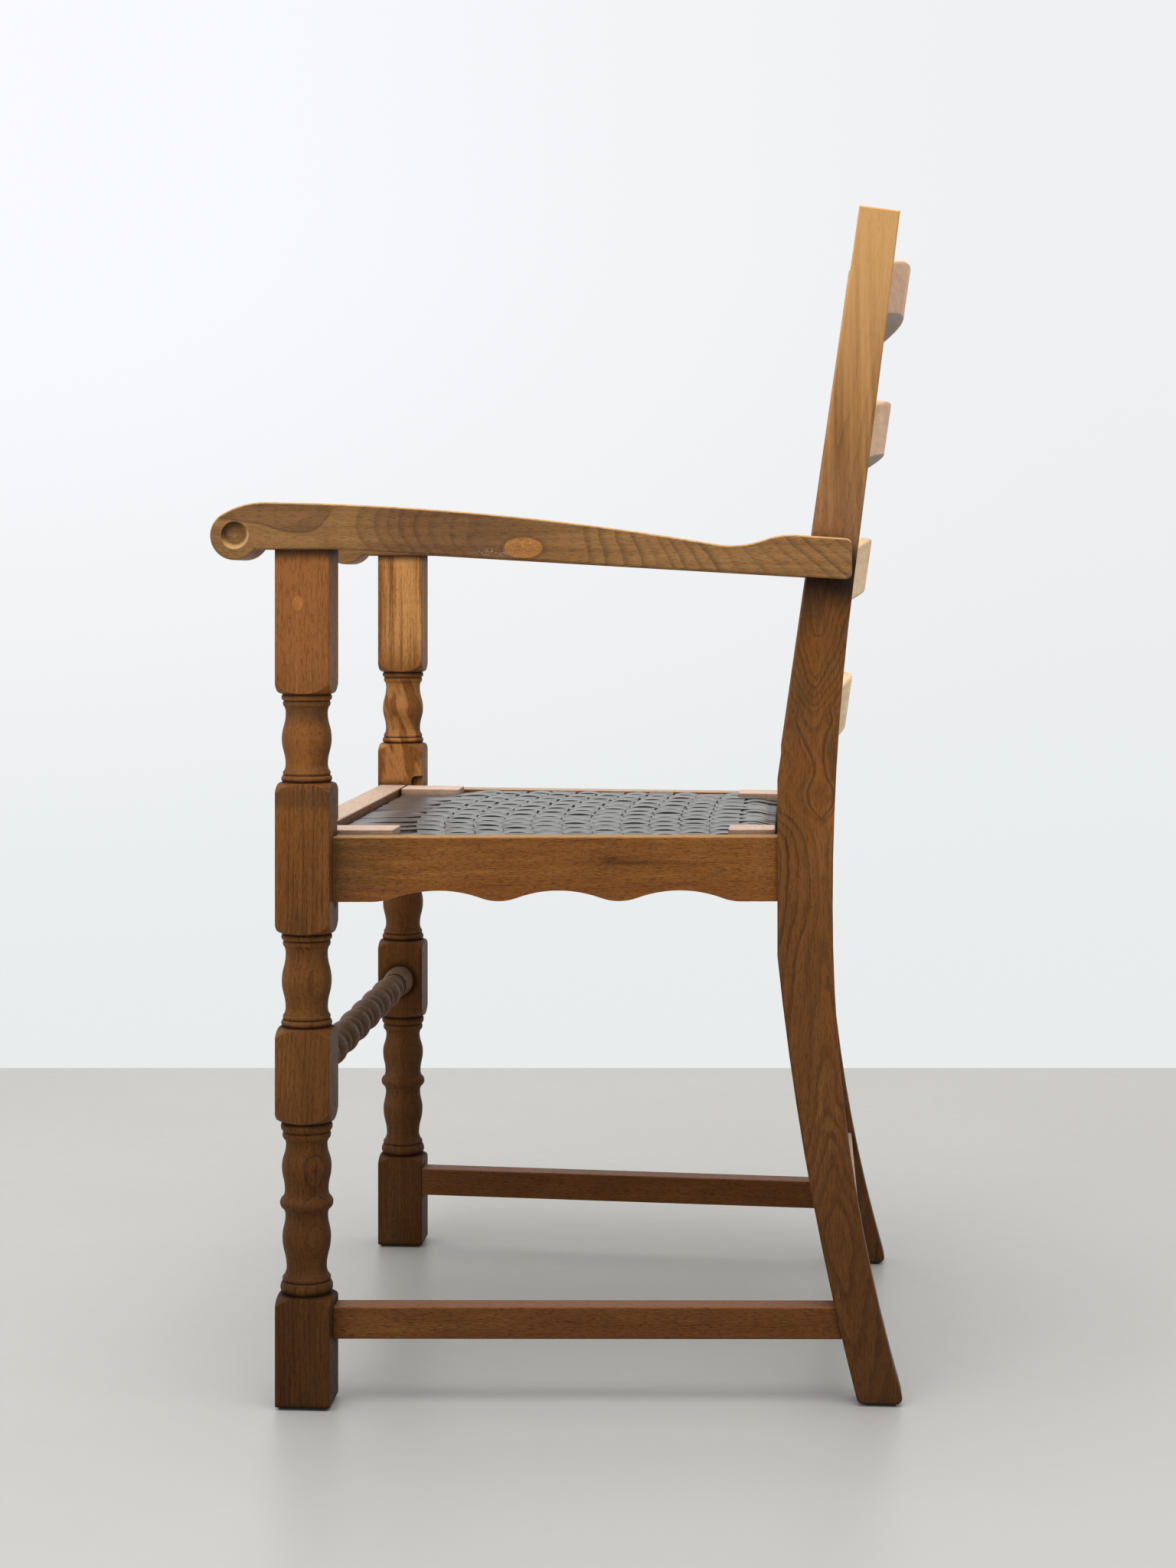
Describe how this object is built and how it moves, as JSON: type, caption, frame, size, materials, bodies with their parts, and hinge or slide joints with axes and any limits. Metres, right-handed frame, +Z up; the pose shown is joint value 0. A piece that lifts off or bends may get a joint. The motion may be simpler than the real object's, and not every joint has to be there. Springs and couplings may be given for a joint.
{
  "type": "ladder-back armchair",
  "caption": "Wooden ladder-back armchair with turned front legs, scrolled arms, curved slats and a lift-out seat woven with broad flat straps.",
  "frame": {"origin": "on the floor, under the middle of the chair's width and 229 mm behind the front legs' front faces", "axes": "+Z up, -Y the way the sitter faces, +X the sitter's left"},
  "size_m": [0.573, 0.5593, 0.949],
  "materials": {
    "stained_wood": "open-pored hardwood, stained mid brown, thin satin lacquer",
    "seat_wood": "paler unlacquered hardwood",
    "raw_wood": "raw sawn wood",
    "strap": "dark grey flat strap, satin",
    "felt": "dark pressed felt"
  },
  "bodies": {
    "frame": {"front_leg_left": "stained_wood", "back_post_left": "stained_wood", "arm_left": "stained_wood", "side_rail_left": "stained_wood", "side_stretcher_left": "stained_wood", "corner_brace_front_left": "raw_wood", "corner_brace_back_left": "raw_wood", "foot_pad_front_left": "felt", "foot_pad_back_left": "felt", "front_leg_right": "stained_wood", "back_post_right": "stained_wood", "arm_right": "stained_wood", "side_rail_right": "stained_wood", "side_stretcher_right": "stained_wood", "corner_brace_front_right": "raw_wood", "corner_brace_back_right": "raw_wood", "foot_pad_front_right": "felt", "foot_pad_back_right": "felt", "arm_dowels": "raw_wood", "front_rail": "stained_wood", "back_rail": "stained_wood", "front_stretcher": "stained_wood", "back_stretcher": "stained_wood", "back_slat_1": "stained_wood", "back_slat_2": "stained_wood", "back_slat_3": "stained_wood", "back_slat_4": "stained_wood"},
    "seat": {"seat_bar_front": "seat_wood", "seat_bar_back": "seat_wood", "seat_bar_left": "seat_wood", "seat_bar_right": "seat_wood", "seat_corner_front_left": "seat_wood", "seat_corner_front_right": "seat_wood", "seat_corner_back_left": "seat_wood", "seat_corner_back_right": "seat_wood", "lengthwise_straps": "strap", "crosswise_straps": "strap"}
  },
  "joints": [
    {"name": "seat_lift", "type": "slide", "parent": "frame", "child": "seat", "axis": [0, 0, 1], "range_m": [0, 0.54]}
  ]
}
